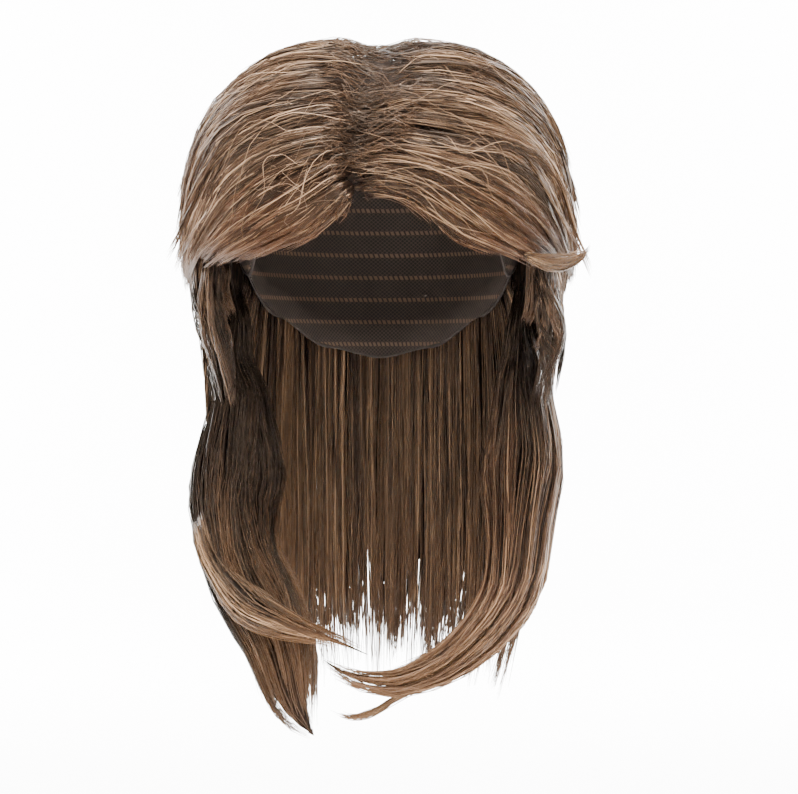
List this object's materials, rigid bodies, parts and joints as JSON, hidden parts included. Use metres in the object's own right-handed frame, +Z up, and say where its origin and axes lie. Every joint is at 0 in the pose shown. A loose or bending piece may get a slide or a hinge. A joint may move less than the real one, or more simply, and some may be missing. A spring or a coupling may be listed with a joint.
{
  "type": "mullet wig",
  "caption": "Mullet wig on an open cap: parted crown, swept fringe, feathered sides, long nape hair and two long front tails.",
  "frame": {"origin": "inside top of the cap, where it sits on a head", "axes": "+Z up, -Y the way the face looks, +X towards the wearer's left"},
  "size_m": [0.2212, 0.2335, 0.3732],
  "materials": {
    "cap_net": "matt knitted net",
    "crown_hair": "combed synthetic hair, ash brown with pale strands, soft sheen",
    "fringe_hair": "combed synthetic hair, ash brown with pale strands, soft sheen",
    "side_hair": "feathered synthetic hair, ash brown, soft sheen",
    "nape_hair": "long synthetic hair, darker ash brown, soft sheen",
    "tail_hair": "long synthetic hair, darker ash brown with pale strands, soft sheen",
    "loose_locks": "loose synthetic hair, ash brown, soft sheen"
  },
  "bodies": {
    "root": {"wig_cap": "cap_net", "fringe_right": "fringe_hair", "fringe_left": "fringe_hair", "crown_right": "crown_hair", "crown_left": "crown_hair", "crown_back_right": "crown_hair", "crown_back_left": "crown_hair", "side_right": "side_hair", "side_left": "side_hair", "nape_right": "nape_hair", "nape_middle": "nape_hair", "nape_left": "nape_hair", "tail_right": "tail_hair", "tail_left": "tail_hair", "crossing_lock": "loose_locks", "lower_lock": "loose_locks", "flick_lock": "loose_locks"}
  },
  "joints": []
}
